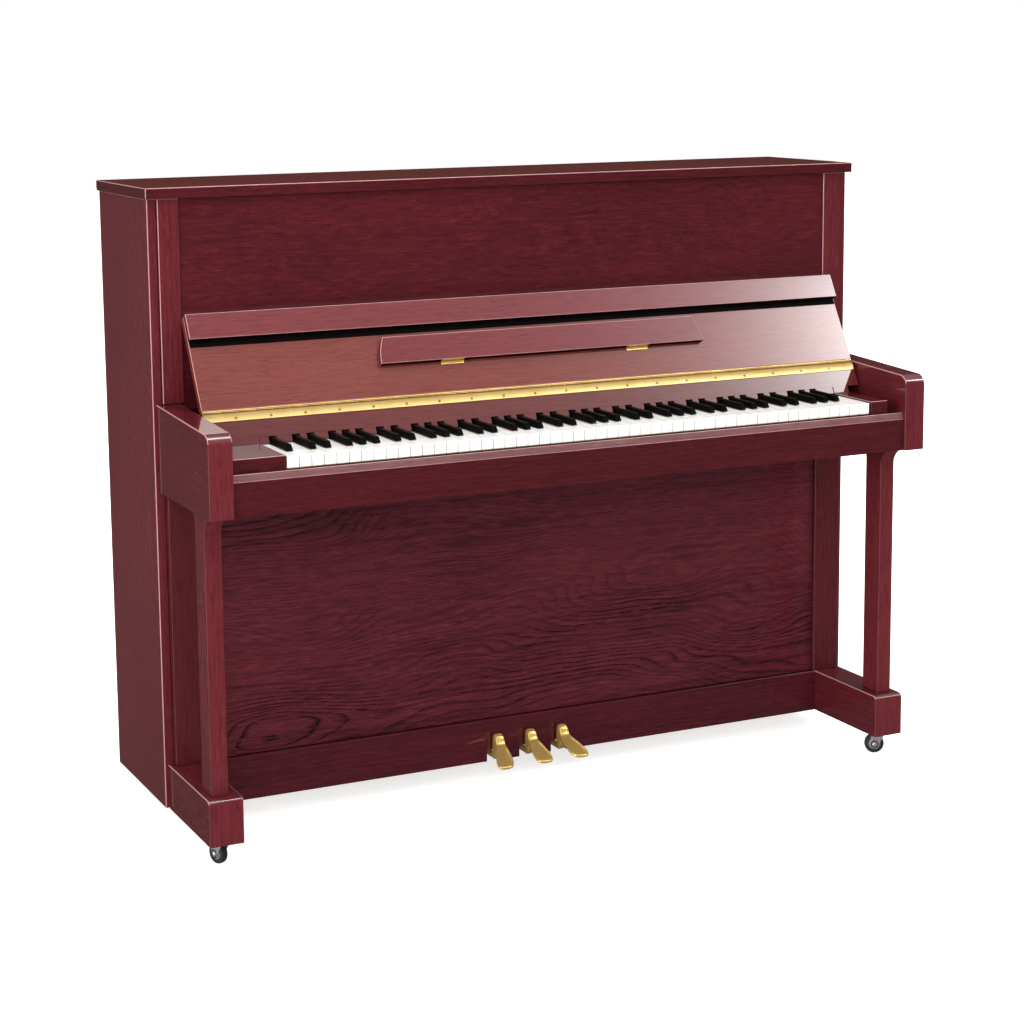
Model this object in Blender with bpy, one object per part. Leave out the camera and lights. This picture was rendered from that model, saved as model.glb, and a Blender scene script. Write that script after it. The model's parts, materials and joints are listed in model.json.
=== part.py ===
"""Upright piano of the 121 cm class: case, keyboard, fallboard, pedals, casters and inner structure.

Lengths are in millimetres and become metres when a mesh is made. +X is the pianist's right,
-Y is the front, +Z is up. The origin is on the floor, under the middle of the whole piano.
"""
import math

import bmesh
import bpy

MM = 0.001
GAP = 0.3                      # clearance between neighbouring pieces

# Overall case
LID_HALF = 760.0
LID_FRONT, LID_BACK = -25.0, 297.0
LID_THICK = 20.0
TOP_Z = 1210.0
BACK_Y = 305.0
SIDE_OUT, SIDE_IN = 754.0, 736.3
SIDE_CORE = 724.0
SIDE_FRONT, SIDE_BACK = -10.0, 300.0
SIDE_BOTTOM = 47.0
CASE_TOP = TOP_Z - LID_THICK - GAP

# Arms, legs and toe blocks
ARM_IN, ARM_OUT = 703.0, 748.0
ARM_FRONT = -305.0
ARM_BOTTOM, ARM_TOP, ARM_NOSE_TOP = 650.0, 814.0, 801.0
ARM_NOSE_R = 21.0
LEG_IN, LEG_OUT = 702.0, 734.0
LEG_FRONT, LEG_BACK = -226.0, -174.0
FLARE_FRONT, FLARE_BACK, FLARE_H = 35.0, 11.0, 38.0
TOE_IN, TOE_OUT = 682.0, 747.0
TOE_FRONT = -249.0
TOE_BOTTOM, TOE_TOP = 45.0, 131.0
TOE_R = 9.0

# Posts and panels
PILASTER_IN, PILASTER_OUT = 696.0, 736.0
PILASTER_FRONT, PILASTER_BACK = -16.5, 12.0
POST_IN = 678.0
POST_FRONT = -27.4
UPPER_FRONT, UPPER_BACK, UPPER_BOTTOM = -13.0, 5.0, 800.0
LOWER_FRONT, LOWER_BACK = -18.0, -3.0
RAIL_FRONT, RAIL_BACK = -28.0, -8.0
BOARD_BOTTOM, BOARD_TOP, BOARD_BACK = 72.0, 90.0, 189.0

# Keyboard
KEY_COUNT_WHITE = 52
KEY_PITCH = 23.6
KEY_GAP = 0.8
KEYS_CENTRE = 15.5             # the keyboard sits right of the case's middle
KEY_FRONT, KEY_BACK = -287.0, 100.0
KEY_BOTTOM, WHITE_TOP, BLACK_TOP = 727.0, 749.5, 761.5
HEAD_LENGTH = 48.0
BLACK_WIDTH, BLACK_TOP_WIDTH = 13.0, 9.6
BLACK_FRONT, BLACK_TOP_FRONT, BLACK_BACK = -240.0, -234.5, -45.0
PIVOT_Y, PIVOT_Z = -60.0, 727.0
WEB_FRONT, WEB_BACK = -75.0, -45.0
BLOCK_TOP = 752.0
KEYBED_TOP = 688.0
SLIP_FRONT, SLIP_BACK, SLIP_TOP = -298.5, -289.5, 726.0
# Semitone positions of the sharps: index of the white key below, and the shift from the joint
SHARPS_OF_OCTAVE = ((0, -2.6), (1, 2.6), (3, -3.2), (4, 0.0), (5, 3.2))

# Fallboard: s runs up the leaning board and d out of its front face, both from the hinge axis
HINGE_Y, HINGE_Z = -123.5, 808.5
LEAN = math.radians(29.6)
FALL_HALF = 698.0
PANEL_FROM, PANEL_TO = 5.0, 190.3
PANEL_FACE, PANEL_THICK = 0.9, 14.5
LIP_LENGTH, LIP_THICK = 50.0, 13.2
LEDGE_FROM, LEDGE_TO, LEDGE_THICK = 66.5, 120.0, 11.5
LEDGE_CENTRE, LEDGE_HALF_LOW, LEDGE_HALF_HIGH = 10.0, 348.0, 335.0
KNUCKLE_R = 3.0
STRIP_TOP_S, STRIP_FACE, STRIP_THICK = -4.0, 0.6, 18.0
STRIP_BOTTOM_Z = 763.5

# Pedals
PEDAL_X = (-77.0, -5.0, 66.0)
PEDAL_SPLAY = (-16.0, 0.0, 10.0)
PEDAL_PIVOT_Y, PEDAL_PIVOT_Z = 150.0, 55.0
SLOT_HALF, SLOT_TOP = 17.0, 68.0
PEDAL_SECTIONS = (             # y, top z, bottom z, width
    (165.0, 60.0, 50.0, 14.0), (-33.0, 60.0, 50.0, 14.0), (-34.5, 102.0, 50.0, 18.0),
    (-39.0, 105.0, 52.0, 20.0), (-48.0, 104.0, 58.0, 20.5), (-53.0, 98.0, 66.0, 20.5),
    (-56.0, 88.0, 74.0, 21.0), (-64.0, 83.0, 74.0, 25.0), (-80.0, 76.5, 67.0, 32.5),
    (-95.0, 69.5, 60.0, 37.0), (-106.0, 64.5, 55.0, 36.0), (-113.0, 61.0, 53.5, 28.0),
    (-116.0, 58.5, 54.5, 16.0))

# Casters: swivel x, swivel y and the angle the wheel trails at
CASTERS = (
    ("front_left", -715.0, -215.0, 20.0), ("front_right", 715.0, -215.0, 62.0),
    ("rear_left", -690.0, 240.0, -15.0), ("rear_right", 690.0, 240.0, 10.0))
WHEEL_R, WHEEL_HALF, TRAIL = 20.0, 7.0, 9.0
AXLE_R, BORE_R = 3.0, 3.4
CHEEK_IN, CHEEK_OUT = 8.0, 10.2
WHEEL_SIDES = 20

# Inner structure
FRAME_FRONT = 190.0
BACK_POSTS = (-693.0, -346.5, 0.0, 346.5, 693.0)
BACK_POST_HALF = 30.0
PLATE_BACK, PIN_FIELD_LOW = 156.0, 1070.0


# ---------------------------------------------------------------- building helpers

def clear_scene():
    for obj in list(bpy.data.objects):
        bpy.data.objects.remove(obj, do_unlink=True)


def material(name, colour, roughness, metallic=0.0):
    mat = bpy.data.materials.new(name)
    mat.use_nodes = True
    shader = mat.node_tree.nodes["Principled BSDF"]
    shader.inputs["Base Color"].default_value = (*colour, 1.0)
    shader.inputs["Roughness"].default_value = roughness
    shader.inputs["Metallic"].default_value = metallic
    mat.diffuse_color = (*colour, 1.0)
    return mat


def make_object(name, bm, mat, origin=(0.0, 0.0, 0.0), smooth=False):
    """Turn a bmesh in millimetres into an object whose origin is at the given point."""
    bmesh.ops.recalc_face_normals(bm, faces=bm.faces)
    for vert in bm.verts:
        vert.co = [(vert.co[k] - origin[k]) * MM for k in range(3)]
    mesh = bpy.data.meshes.new(name)
    bm.to_mesh(mesh)
    bm.free()
    if smooth:
        mesh.shade_smooth()
        mesh.set_sharp_from_angle(angle=math.radians(35))
    mesh.materials.append(mat)
    obj = bpy.data.objects.new(name, mesh)
    obj.location = [value * MM for value in origin]
    bpy.context.scene.collection.objects.link(obj)
    return obj


def add_prism(bm, outline, axis, low, high):
    """Extrude a closed outline along axis; the outline's two numbers are the other two axes in order."""
    def place(u, v, w):
        return {"X": (w, u, v), "Y": (u, w, v), "Z": (u, v, w)}[axis]
    lower = [bm.verts.new(place(u, v, low)) for u, v in outline]
    upper = [bm.verts.new(place(u, v, high)) for u, v in outline]
    count = len(outline)
    caps = [bm.faces.new(lower), bm.faces.new(upper)]
    for i in range(count):
        j = (i + 1) % count
        bm.faces.new((lower[i], lower[j], upper[j], upper[i]))
    for cap in caps:
        cap.normal_update()
    bmesh.ops.triangulate(bm, faces=caps)


def rectangle(u0, v0, u1, v1):
    return [(u0, v0), (u1, v0), (u1, v1), (u0, v1)]


def add_box(bm, low, high):
    add_prism(bm, rectangle(low[0], low[1], high[0], high[1]), "Z", low[2], high[2])


def box(name, low, high, mat, origin=(0.0, 0.0, 0.0)):
    bm = bmesh.new()
    add_box(bm, low, high)
    return make_object(name, bm, mat, origin)


def prism(name, outline, axis, low, high, mat, origin=(0.0, 0.0, 0.0), smooth=False):
    bm = bmesh.new()
    add_prism(bm, outline, axis, low, high)
    return make_object(name, bm, mat, origin, smooth)


def arc(u, v, radius, start, end, steps):
    """Points on an arc, angles in degrees, both ends included."""
    angles = [math.radians(start + (end - start) * i / steps) for i in range(steps + 1)]
    return [(u + radius * math.cos(a), v + radius * math.sin(a)) for a in angles]


def combine(obj, other, operation):
    """Join or cut obj with a hidden second solid."""
    other.hide_render = True
    other.display_type = "WIRE"
    other.parent = obj
    other.matrix_parent_inverse = obj.matrix_basis.inverted()
    modifier = obj.modifiers.new(other.name, "BOOLEAN")
    modifier.operation = operation
    modifier.solver = "EXACT"
    modifier.object = other


def pair(build, name):
    """Build the left and right copies of a piece; the builder gets the node's name and the side's sign."""
    build(name + "_left", -1.0)
    build(name + "_right", 1.0)


def mirrored(sign, low, high):
    return (low, high) if sign > 0 else (-high, -low)


# ---------------------------------------------------------------- case

def side_panel(name, sign, mat):
    outline = [
        (sign * SIDE_IN, SIDE_FRONT), (sign * SIDE_OUT, SIDE_FRONT), (sign * SIDE_OUT, SIDE_BACK),
        (sign * SIDE_CORE, SIDE_BACK), (sign * SIDE_CORE, PILASTER_BACK + GAP),
        (sign * SIDE_IN, PILASTER_BACK + GAP)]
    prism(name, outline, "Z", SIDE_BOTTOM, CASE_TOP, mat)


def top_lid(mat):
    axis = (0.0, LID_BACK, TOP_Z - LID_THICK)
    box("top_lid", (-LID_HALF, LID_FRONT, TOP_Z - LID_THICK), (LID_HALF, LID_BACK, TOP_Z), mat, axis)


def pilaster(name, sign, mat):
    x0, x1 = mirrored(sign, PILASTER_IN, PILASTER_OUT)
    box(name, (x0, PILASTER_FRONT, ARM_TOP + GAP), (x1, PILASTER_BACK, CASE_TOP), mat)


def lower_post(name, sign, mat):
    x0, x1 = mirrored(sign, POST_IN, PILASTER_OUT)
    box(name, (x0, POST_FRONT, TOE_TOP + GAP), (x1, PILASTER_BACK, ARM_BOTTOM - GAP), mat)


def arm(name, sign, mat):
    nose = arc(ARM_FRONT + ARM_NOSE_R, ARM_NOSE_TOP - ARM_NOSE_R, ARM_NOSE_R, 180.0, 95.0, 5)
    back = SIDE_FRONT - GAP
    outline = [(back, ARM_BOTTOM), (ARM_FRONT, ARM_BOTTOM)] + nose + [(back, ARM_TOP)]
    x0, x1 = mirrored(sign, ARM_IN, ARM_OUT)
    prism(name, outline, "X", x0, x1, mat, smooth=True)


def leg(name, sign, mat):
    top = ARM_BOTTOM - GAP
    low = top - FLARE_H
    steps = 8
    front = [(LEG_FRONT - FLARE_FRONT * (i / steps) ** 2, low + FLARE_H * i / steps) for i in range(steps + 1)]
    back = [(LEG_BACK + FLARE_BACK * (i / steps) ** 2, low + FLARE_H * i / steps) for i in range(steps + 1)]
    outline = [(LEG_FRONT, TOE_TOP + GAP)] + front + back[::-1] + [(LEG_BACK, TOE_TOP + GAP)]
    x0, x1 = mirrored(sign, LEG_IN, LEG_OUT)
    prism(name, outline, "X", x0, x1, mat, smooth=True)


def toe_block(name, sign, mat):
    back = SIDE_FRONT - GAP
    nose = arc(TOE_FRONT + TOE_R, TOE_TOP - TOE_R, TOE_R, 180.0, 90.0, 4)
    outline = [(back, TOE_BOTTOM), (TOE_FRONT, TOE_BOTTOM)] + nose + [(back, TOE_TOP)]
    x0, x1 = mirrored(sign, TOE_IN, TOE_OUT)
    prism(name, outline, "X", x0, x1, mat, smooth=True)


def upper_front_panel(mat):
    half = PILASTER_IN - GAP
    box("upper_front_panel", (-half, UPPER_FRONT, UPPER_BOTTOM), (half, UPPER_BACK, CASE_TOP), mat)


def lower_front_panel(mat):
    half = POST_IN - GAP
    box("lower_front_panel", (-half, LOWER_FRONT, TOE_TOP + GAP), (half, LOWER_BACK, ARM_BOTTOM - GAP), mat)


def bottom_rail(mat):
    """Rail under the lower panel, notched from below for the three pedals."""
    half = TOE_IN - GAP
    outline = [(half, TOE_BOTTOM), (half, TOE_TOP - GAP), (-half, TOE_TOP - GAP), (-half, TOE_BOTTOM)]
    for x in PEDAL_X:
        outline += [(x - SLOT_HALF, TOE_BOTTOM), (x - SLOT_HALF, SLOT_TOP),
                    (x + SLOT_HALF, SLOT_TOP), (x + SLOT_HALF, TOE_BOTTOM)]
    prism("bottom_rail", outline, "Y", RAIL_FRONT, RAIL_BACK, mat)


def bottom_board(mat):
    half = SIDE_CORE - GAP
    front = PILASTER_BACK + 2 * GAP
    narrow = POST_IN
    outline = [(-narrow, RAIL_BACK + GAP), (narrow, RAIL_BACK + GAP), (narrow, front), (half, front),
               (half, BOARD_BACK), (-half, BOARD_BACK), (-half, front), (-narrow, front)]
    prism("bottom_board", outline, "Z", BOARD_BOTTOM, BOARD_TOP, mat)


# ---------------------------------------------------------------- keyboard

def keybed(mat):
    half = ARM_IN - GAP
    box("keybed", (-half, SLIP_BACK + GAP, ARM_BOTTOM), (half, 130.0, KEYBED_TOP), mat)


def key_slip(mat):
    half = ARM_IN - GAP
    outline = [(SLIP_FRONT, ARM_BOTTOM), (SLIP_BACK, ARM_BOTTOM), (SLIP_BACK, SLIP_TOP),
               (SLIP_FRONT + 5.0, SLIP_TOP), (SLIP_FRONT, SLIP_TOP - 13.0)]
    prism("key_slip", outline, "X", -half, half, mat)


def key_frame(mat):
    """Base plate with the front, balance and back rails that carry the keys."""
    low = KEYBED_TOP + GAP
    base = low + 7.0
    outline = [
        (-284.0, low), (122.0, low), (122.0, 716.0), (88.0, 716.0), (88.0, base), (-48.0, base),
        (-48.0, 716.0), (-72.0, 716.0), (-72.0, base), (-236.0, base), (-236.0, 706.0), (-284.0, 706.0)]
    x0, x1 = keyboard_span()
    prism("key_frame", outline, "X", x0, x1, mat)


def keyboard_span():
    half = KEY_COUNT_WHITE * KEY_PITCH / 2
    return KEYS_CENTRE - half, KEYS_CENTRE + half


def key_block(name, x0, x1, mat):
    box(name, (x0, KEY_FRONT, KEYBED_TOP + GAP), (x1, -40.0, BLOCK_TOP), mat)


def key_blocks(mat):
    left, right = keyboard_span()
    key_block("key_block_left", -ARM_IN + GAP, left - 1.2, mat)
    key_block("key_block_right", right + 4.0, right + 43.0, mat)


def key_groups():
    """White key indices and sharp centres of each group: one octave, with the end keys in the end groups."""
    first_octave = 2
    groups = []
    for octave in range(7):
        start = first_octave + 7 * octave
        whites = list(range(start, start + 7))
        sharps = [(start + index + 1, shift) for index, shift in SHARPS_OF_OCTAVE]
        if octave == 0:
            whites = [0, 1] + whites
            sharps = [(1, 0.0)] + sharps
        if octave == 6:
            whites.append(KEY_COUNT_WHITE - 1)
        groups.append((whites, sharps))
    return groups


def white_outline(index, sharps):
    """Plan view of one white key, cut away beside the sharps that lie over its edges."""
    x0 = keyboard_span()[0] + index * KEY_PITCH
    left, right = x0 + KEY_GAP / 2, x0 + KEY_PITCH - KEY_GAP / 2
    neck_left, neck_right = left, right
    for joint, shift in sharps:
        centre = keyboard_span()[0] + joint * KEY_PITCH + shift
        if joint == index:
            neck_left = centre + BLACK_WIDTH / 2 + 1.0
        if joint == index + 1:
            neck_right = centre - BLACK_WIDTH / 2 - 1.0
    head = KEY_FRONT + HEAD_LENGTH
    outline = [(left, KEY_FRONT), (right, KEY_FRONT)]
    if neck_right != right:
        outline += [(right, head - 2.0), (neck_right, head - 2.0)]
    outline += [(neck_right, KEY_BACK), (neck_left, KEY_BACK)]
    if neck_left != left:
        outline += [(neck_left, head - 2.0), (left, head - 2.0)]
    return outline


def white_keys(name, whites, sharps, mat):
    """White keys of one group, held together by a web over the balance rail."""
    origin = (KEYS_CENTRE, PIVOT_Y, PIVOT_Z)
    x0 = keyboard_span()[0] + whites[0] * KEY_PITCH
    x1 = keyboard_span()[0] + (whites[-1] + 1) * KEY_PITCH
    web = box(name, (x0 + 1.0, WEB_FRONT, 719.5), (x1 - 1.0, WEB_BACK, 733.0), mat, origin)
    bm = bmesh.new()
    for index in whites:
        add_prism(bm, white_outline(index, sharps), "Z", KEY_BOTTOM, WHITE_TOP)
    combine(web, make_object(name + "_bodies", bm, mat, origin), "UNION")


def add_sharp(bm, centre):
    """A sharp: tapered sides, sloping front and a flat top."""
    low, high = WHITE_TOP + 1.0, BLACK_TOP
    wide, narrow = BLACK_WIDTH / 2, BLACK_TOP_WIDTH / 2
    corners = [
        (-wide, BLACK_FRONT, low), (wide, BLACK_FRONT, low), (wide, BLACK_BACK, low), (-wide, BLACK_BACK, low),
        (-narrow, BLACK_TOP_FRONT, high), (narrow, BLACK_TOP_FRONT, high),
        (narrow, BLACK_BACK, high), (-narrow, BLACK_BACK, high)]
    verts = [bm.verts.new((centre + x, y, z)) for x, y, z in corners]
    for face in ((0, 1, 2, 3), (4, 5, 6, 7), (0, 1, 5, 4), (1, 2, 6, 5), (2, 3, 7, 6), (3, 0, 4, 7)):
        bm.faces.new([verts[i] for i in face])


def black_keys(name, sharps, mat):
    """Sharps of one group, held together by a web just above the white keys."""
    origin = (KEYS_CENTRE, PIVOT_Y, PIVOT_Z)
    centres = [keyboard_span()[0] + joint * KEY_PITCH + shift for joint, shift in sharps]
    web = box(name, (centres[0] - 3.0, WEB_FRONT, 752.0), (centres[-1] + 3.0, WEB_BACK - 2.0, 758.0), mat, origin)
    bm = bmesh.new()
    for centre in centres:
        add_sharp(bm, centre)
    combine(web, make_object(name + "_bodies", bm, mat, origin), "UNION")


def keyboard(white, black):
    for number, (whites, sharps) in enumerate(key_groups(), start=1):
        white_keys(f"white_keys_{number}", whites, sharps, white)
        black_keys(f"black_keys_{number}", sharps, black)


# ---------------------------------------------------------------- fallboard

def lean(s, d):
    """Point (y, z) at s up the open fallboard and d out of it, from the hinge axis."""
    y = HINGE_Y + s * math.sin(LEAN) - d * math.cos(LEAN)
    z = HINGE_Z + s * math.cos(LEAN) + d * math.sin(LEAN)
    return y, z


def leaning_slab(s0, s1, d0, d1):
    return [lean(s0, d0), lean(s1, d0), lean(s1, d1), lean(s0, d1)]


def level_slab(z_low, s_high, d0, d1):
    """Leaning slab whose lower end is cut level at z_low."""
    def foot(d):
        return (z_low - HINGE_Z - d * math.sin(LEAN)) / math.cos(LEAN)
    return [lean(foot(d0), d0), lean(s_high, d0), lean(s_high, d1), lean(foot(d1), d1)]


def name_strip(mat):
    """Leaning strip between the hinge and the keys; its ends run down to the key blocks."""
    back = STRIP_FACE - STRIP_THICK
    slab = level_slab(STRIP_BOTTOM_Z, STRIP_TOP_S, back, STRIP_FACE)
    strip = prism("name_strip", slab, "X", -FALL_HALF, FALL_HALF, mat)
    left, right = keyboard_span()
    bm = bmesh.new()
    foot_slab = level_slab(BLOCK_TOP + GAP, -30.0, back / 2, STRIP_FACE - 0.01)
    add_prism(bm, foot_slab, "X", -FALL_HALF + 0.1, left - 3.0)
    add_prism(bm, foot_slab, "X", right + 6.0, right + 41.0)
    combine(strip, make_object("name_strip_feet", bm, mat), "UNION")


def fallboard(wood, brass):
    axis = (0.0, HINGE_Y, HINGE_Z)
    slab = leaning_slab(PANEL_FROM, PANEL_TO, PANEL_FACE - PANEL_THICK, PANEL_FACE)
    prism("fallboard_panel", slab, "X", -FALL_HALF, FALL_HALF, wood, axis)
    leaf = leaning_slab(KNUCKLE_R + 0.4, PANEL_FROM - GAP, PANEL_FACE - PANEL_THICK, PANEL_FACE - 0.2)
    prism("fallboard_hinge_moving_leaf", leaf, "X", -FALL_HALF + 1.0, FALL_HALF - 1.0, brass, axis)


def fixed_hinge_leaf(brass):
    """Plate on the name strip with the knuckle along its top edge."""
    plate = [lean(-18.0, 0.9), lean(-18.0, 2.2), lean(-2.0, 2.2)]
    knuckle = [lean(KNUCKLE_R * math.sin(math.radians(a)), KNUCKLE_R * math.cos(math.radians(a)))
               for a in range(-30, 211, 30)]
    outline = plate + knuckle + [lean(-3.4, 0.9)]
    prism("fallboard_hinge_fixed_leaf", outline, "X", -FALL_HALF + 1.0, FALL_HALF - 1.0, brass, smooth=True)


def fallboard_lip(mat):
    """Folding front lip, lying back on the board's face along its top edge."""
    low = PANEL_FACE + GAP
    y, z = lean(PANEL_TO, PANEL_FACE + GAP / 2)
    slab = leaning_slab(PANEL_TO - LIP_LENGTH, PANEL_TO, low, low + LIP_THICK)
    prism("fallboard_lip", slab, "X", -FALL_HALF, FALL_HALF, mat, (0.0, y, z))


def music_ledge(mat):
    """Fold-out music ledge: a flat bar whose ends curve in towards its top edge."""
    steps = 5
    rise = LEDGE_TO - LEDGE_FROM
    side = []
    for i in range(steps + 1):
        t = i / steps
        side.append((LEDGE_HALF_LOW - (LEDGE_HALF_LOW - LEDGE_HALF_HIGH) * t ** 2, LEDGE_FROM + rise * t))
    half = [(x, s) for x, s in side]
    outline = [(LEDGE_CENTRE + x, s) for x, s in half] + [(LEDGE_CENTRE - x, s) for x, s in half[::-1]]
    low = PANEL_FACE + GAP
    bm = bmesh.new()
    add_prism(bm, outline, "Z", low, low + LEDGE_THICK)
    for vert in bm.verts:
        vert.co = (vert.co.x, *lean(vert.co.y, vert.co.z))
    y, z = lean(LEDGE_FROM - 0.2, PANEL_FACE + GAP / 2)
    make_object("music_ledge", bm, mat, (LEDGE_CENTRE, y, z), smooth=True)


# ---------------------------------------------------------------- pedals and casters

def section_ring(bm, x, y, top, bottom, width):
    """Eight-point rounded rectangle across the pedal at y."""
    half_w, half_h, middle = width / 2, (top - bottom) / 2, (top + bottom) / 2
    cut = min(3.0, half_h * 0.6, half_w * 0.5)
    points = [(half_w, half_h - cut), (half_w - cut, half_h), (cut - half_w, half_h), (-half_w, half_h - cut),
              (-half_w, cut - half_h), (cut - half_w, -half_h), (half_w - cut, -half_h), (half_w, cut - half_h)]
    return [bm.verts.new((x + u, y, middle + v)) for u, v in points]


def pedal(name, x, splay, mat):
    """Gooseneck pedal: lever under the bottom board, upright neck and spreading foot."""
    foot_start, foot_end = -56.0, PEDAL_SECTIONS[-1][0]
    bm = bmesh.new()
    rings = []
    for y, top, bottom, width in PEDAL_SECTIONS:
        t = max(0.0, (y - foot_start) / (foot_end - foot_start))
        rings.append(section_ring(bm, x + splay * t, y, top, bottom, width))
    for a, b in zip(rings, rings[1:]):
        for i in range(len(a)):
            j = (i + 1) % len(a)
            bm.faces.new((a[i], a[j], b[j], b[i]))
    bm.faces.new(rings[0])
    bm.faces.new(rings[-1])
    make_object(name, bm, mat, (x, PEDAL_PIVOT_Y, PEDAL_PIVOT_Z), smooth=True)


def add_wheel(bm):
    """Wheel turned about its axle, which lies along X at the mesh's origin, with a flat facet on the floor."""
    flat_to_corner = 1.0 / math.cos(math.pi / WHEEL_SIDES)
    profile = [(BORE_R, -WHEEL_HALF), (WHEEL_R - 3.0, -WHEEL_HALF), (WHEEL_R, 2.5 - WHEEL_HALF),
               (WHEEL_R, WHEEL_HALF - 2.5), (WHEEL_R - 3.0, WHEEL_HALF), (BORE_R, WHEEL_HALF)]
    rings = []
    for k in range(WHEEL_SIDES):
        angle = 2 * math.pi * (k + 0.5) / WHEEL_SIDES - math.pi / 2
        across, up = flat_to_corner * math.cos(angle), flat_to_corner * math.sin(angle)
        rings.append([bm.verts.new((x, r * across, r * up)) for r, x in profile])
    for k in range(WHEEL_SIDES):
        a, b = rings[k], rings[(k + 1) % WHEEL_SIDES]
        for i in range(len(profile)):
            j = (i + 1) % len(profile)
            bm.faces.new((a[i], a[j], b[j], b[i]))


def cheek_outline():
    """Side view of a fork cheek: wide under the plate, round about the axle."""
    lower = arc(TRAIL, WHEEL_R, 8.0, 200.0, 340.0, 6)
    return [(-13.0, 44.0)] + lower + [(17.0, 44.0)]


def caster(name, x, y, angle, steel, rubber):
    turn = math.radians(angle)
    empty = bpy.data.objects.new("caster_pivot_" + name, None)
    empty.location = (x * MM, y * MM, 0.0)
    empty.rotation_euler.z = turn
    bpy.context.scene.collection.objects.link(empty)
    bm = bmesh.new()
    add_box(bm, (-CHEEK_OUT - 1.0, -15.0, 41.6), (CHEEK_OUT + 1.0, 19.0, TOE_BOTTOM - GAP))
    fork = make_object("caster_fork_" + name, bm, steel)
    fork.parent = empty
    parts = bmesh.new()
    add_prism(parts, cheek_outline(), "X", CHEEK_IN, CHEEK_OUT)
    add_prism(parts, cheek_outline(), "X", -CHEEK_OUT, -CHEEK_IN)
    cheeks = make_object(f"caster_cheeks_{name}", parts, steel)
    pin = bmesh.new()
    add_prism(pin, arc(TRAIL, WHEEL_R, AXLE_R, 0.0, 330.0, 11), "X", -CHEEK_OUT - 1.2, CHEEK_OUT + 1.2)
    axle = make_object(f"caster_axle_{name}", pin, steel)
    combine(fork, cheeks, "UNION")
    combine(fork, axle, "UNION")
    wheel_mesh = bmesh.new()
    add_wheel(wheel_mesh)
    wheel = make_object("caster_wheel_" + name, wheel_mesh, rubber, smooth=True)
    wheel.parent = empty
    wheel.location = (0.0, TRAIL * MM, WHEEL_R * MM)


# ---------------------------------------------------------------- inner structure

def back_frame(mat):
    """Upright posts between a top and a bottom beam, open between the posts."""
    half = SIDE_CORE - GAP
    low, high = SIDE_BOTTOM - 2.0, CASE_TOP - GAP
    frame = box("back_frame", (-half, FRAME_FRONT, low), (half, BACK_Y, high), mat)
    bm = bmesh.new()
    for a, b in zip(BACK_POSTS, BACK_POSTS[1:]):
        add_box(bm, (a + BACK_POST_HALF, FRAME_FRONT - 20.0, 170.0), (b - BACK_POST_HALF, BACK_Y + 20.0, 1080.0))
    combine(frame, make_object("back_frame_windows", bm, mat), "DIFFERENCE")


def soundboard(mat):
    box("soundboard", (-700.0, 176.0, 110.0), (700.0, FRAME_FRONT - GAP, 1065.0), mat)


def iron_plate(mat):
    """Cast plate in front of the soundboard, thicker at the tuning-pin field."""
    outline = [(PLATE_BACK, 100.0), (PLATE_BACK, 1175.0), (PLATE_BACK - 16.0, 1175.0),
               (PLATE_BACK - 16.0, PIN_FIELD_LOW), (PLATE_BACK - 6.0, PIN_FIELD_LOW), (PLATE_BACK - 6.0, 100.0)]
    prism("iron_plate", outline, "X", -705.0, 705.0, mat)


def pin_block(mat):
    low = (-705.0, PLATE_BACK + GAP, PIN_FIELD_LOW)
    box("pin_block", low, (705.0, FRAME_FRONT - GAP, 1175.0), mat)


def hammer_action(mat):
    """The action's rails and brackets over the back ends of the keys, as one profile."""
    outline = [(40.0, 770.0), (92.0, 770.0), (98.0, 900.0), (118.0, 1010.0), (118.0, 1050.0),
               (96.0, 1050.0), (84.0, 960.0), (40.0, 930.0)]
    x0, x1 = keyboard_span()
    prism("hammer_action", outline, "X", x0 + 10.0, x1 - 10.0, mat)


def main():
    clear_scene()
    mahogany = material("polished_mahogany", (0.16, 0.022, 0.028), 0.12)
    dark_mahogany = material("panel_mahogany", (0.10, 0.012, 0.018), 0.10)
    ivory = material("key_white", (0.90, 0.90, 0.88), 0.25)
    ebony = material("key_black", (0.012, 0.012, 0.013), 0.25)
    brass = material("brass", (0.80, 0.55, 0.16), 0.22, 1.0)
    steel = material("chrome", (0.70, 0.70, 0.70), 0.20, 1.0)
    rubber = material("caster_rubber", (0.02, 0.02, 0.02), 0.55)
    spruce = material("spruce", (0.62, 0.42, 0.20), 0.50)
    iron = material("gilded_iron", (0.55, 0.38, 0.14), 0.40, 0.8)

    pair(lambda name, sign: side_panel(name, sign, mahogany), "side_panel")
    top_lid(mahogany)
    upper_front_panel(dark_mahogany)
    lower_front_panel(dark_mahogany)
    bottom_rail(dark_mahogany)
    bottom_board(spruce)
    pair(lambda name, sign: pilaster(name, sign, mahogany), "pilaster")
    pair(lambda name, sign: lower_post(name, sign, mahogany), "lower_post")
    pair(lambda name, sign: arm(name, sign, mahogany), "arm")
    pair(lambda name, sign: leg(name, sign, mahogany), "leg")
    pair(lambda name, sign: toe_block(name, sign, mahogany), "toe_block")

    keybed(mahogany)
    key_slip(mahogany)
    key_frame(spruce)
    key_blocks(mahogany)
    keyboard(ivory, ebony)

    name_strip(mahogany)
    fallboard(mahogany, brass)
    fixed_hinge_leaf(brass)
    fallboard_lip(mahogany)
    music_ledge(mahogany)

    for name, x, splay in zip(("left", "middle", "right"), PEDAL_X, PEDAL_SPLAY):
        pedal("pedal_" + name, x, splay, brass)
    for name, x, y, angle in CASTERS:
        caster(name, x, y, angle, steel, rubber)

    back_frame(spruce)
    soundboard(spruce)
    iron_plate(iron)
    pin_block(spruce)
    hammer_action(spruce)


main()
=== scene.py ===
import json
import math

import bmesh
import bpy
from mathutils import Matrix, Vector


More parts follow.
